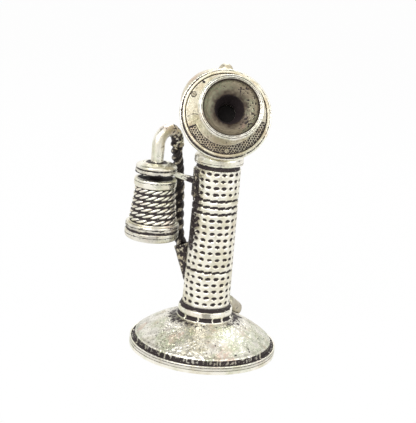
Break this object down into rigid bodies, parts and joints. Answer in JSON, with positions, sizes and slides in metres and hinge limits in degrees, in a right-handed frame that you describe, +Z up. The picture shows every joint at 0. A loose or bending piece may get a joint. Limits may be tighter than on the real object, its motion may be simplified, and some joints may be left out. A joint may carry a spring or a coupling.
{
  "type": "candlestick desk telephone",
  "caption": "Candlestick desk telephone with a domed base, a dimpled column, a switch hook that holds a corded receiver, and a transmitter with a flared mouthpiece that tilts.",
  "frame": {"origin": "middle of the underside, on the surface that the telephone stands on", "axes": "+Z up along the column; the transmitter faces -Y at rest and the receiver hangs on the -X side"},
  "size_m": [0.1523, 0.14, 0.2718],
  "materials": {
    "antique_silver": "cast and polished silver plate with blackened recesses",
    "silver_mechanism": "turned steel, lightly tarnished",
    "brass": "machined brass",
    "spring_bronze": "rolled spring bronze",
    "iron": "cast iron, blackened",
    "fibre": "vulcanised fibre",
    "diaphragm_steel": "japanned thin sheet",
    "gasket_rubber": "sheet rubber",
    "felt": "pressed wool felt",
    "coil_wire": "silk-covered copper winding",
    "cord_rope": "twisted three-strand cord, silvered on its high strands"
  },
  "bodies": {
    "root": {"felt_pad": "felt", "base_plate": "antique_silver", "base_plate_screws": "silver_mechanism", "base_shell": "antique_silver", "ballast_ring": "iron", "ballast_screws": "silver_mechanism", "terminal_block": "fibre", "terminal_screws": "brass", "line_cord_inlet": "antique_silver", "base_collar": "antique_silver", "column_foot": "brass", "column_nut": "brass", "column_tube": "antique_silver", "neck_cap": "antique_silver", "tilt_bracket": "antique_silver", "bracket_foot_screws": "silver_mechanism", "tilt_pin": "silver_mechanism", "tilt_nut": "silver_mechanism", "hook_bracket": "brass", "bracket_screws": "silver_mechanism", "hook_pivot_pin": "silver_mechanism", "hook_escutcheon": "antique_silver", "fixed_contact_springs": "spring_bronze", "moving_spring_root": "spring_bronze", "spring_insulators": "fibre", "stack_screws": "silver_mechanism", "cord_bushing": "antique_silver", "receiver_cord": "cord_rope"},
    "hook": {"switch_hook": "antique_silver", "hook_stud": "fibre", "stud_rivet": "silver_mechanism"},
    "contact_spring": {"moving_contact_spring": "spring_bronze"},
    "hook_lift_spring": {"lift_spring": "spring_bronze"},
    "transmitter": {"transmitter_cup": "antique_silver", "transmitter_flange": "antique_silver", "faceplate": "antique_silver", "faceplate_screws": "silver_mechanism", "mouthpiece": "antique_silver", "transmitter_gasket": "gasket_rubber", "transmitter_diaphragm": "diaphragm_steel", "carbon_button": "brass", "button_bridge": "brass", "bridge_screws": "silver_mechanism", "damping_springs": "spring_bronze", "transmitter_terminals": "brass", "top_knob": "antique_silver"},
    "receiver": {"receiver_shell": "antique_silver", "receiver_bands": "antique_silver", "tail_cap": "antique_silver", "cord_spout": "antique_silver", "spout_ferrule": "antique_silver", "ear_cap": "antique_silver", "receiver_diaphragm": "diaphragm_steel", "receiver_magnet": "iron", "receiver_coils": "coil_wire", "pole_pieces": "iron", "magnet_screw": "silver_mechanism"}
  },
  "joints": [
    {"name": "receiver_unhook", "type": "slide", "parent": "root", "child": "receiver", "axis": [-0.9272, 0, 0.3746], "range_m": [0, 0.025], "deforming": ["receiver_cord"]},
    {"name": "hook_lift", "type": "hinge", "parent": "root", "child": "hook", "pos_m": [-0.008, 0, 0.16], "axis": [0, 1, 0], "range_deg": [0, 8]},
    {"name": "contact_flex", "type": "hinge", "parent": "root", "child": "contact_spring", "pos_m": [0.00525, 0, 0.116], "axis": [0, 1, 0], "range_deg": [-8.5, 0]},
    {"name": "lift_spring_flex", "type": "hinge", "parent": "root", "child": "hook_lift_spring", "pos_m": [0.0143, 0, 0.16475], "axis": [0, 1, 0], "range_deg": [-9.5, 0]},
    {"name": "transmitter_tilt", "type": "hinge", "parent": "root", "child": "transmitter", "pos_m": [0, 0.008, 0.1946], "axis": [-1, 0, 0], "range_deg": [-10, 25]}
  ],
  "couplings": [
    {"joint": "hook_lift", "follows": "receiver_unhook", "rad_per_m": 5.585},
    {"joint": "contact_flex", "follows": "receiver_unhook", "rad_per_m": -5.8643},
    {"joint": "lift_spring_flex", "follows": "receiver_unhook", "rad_per_m": -6.5624}
  ]
}
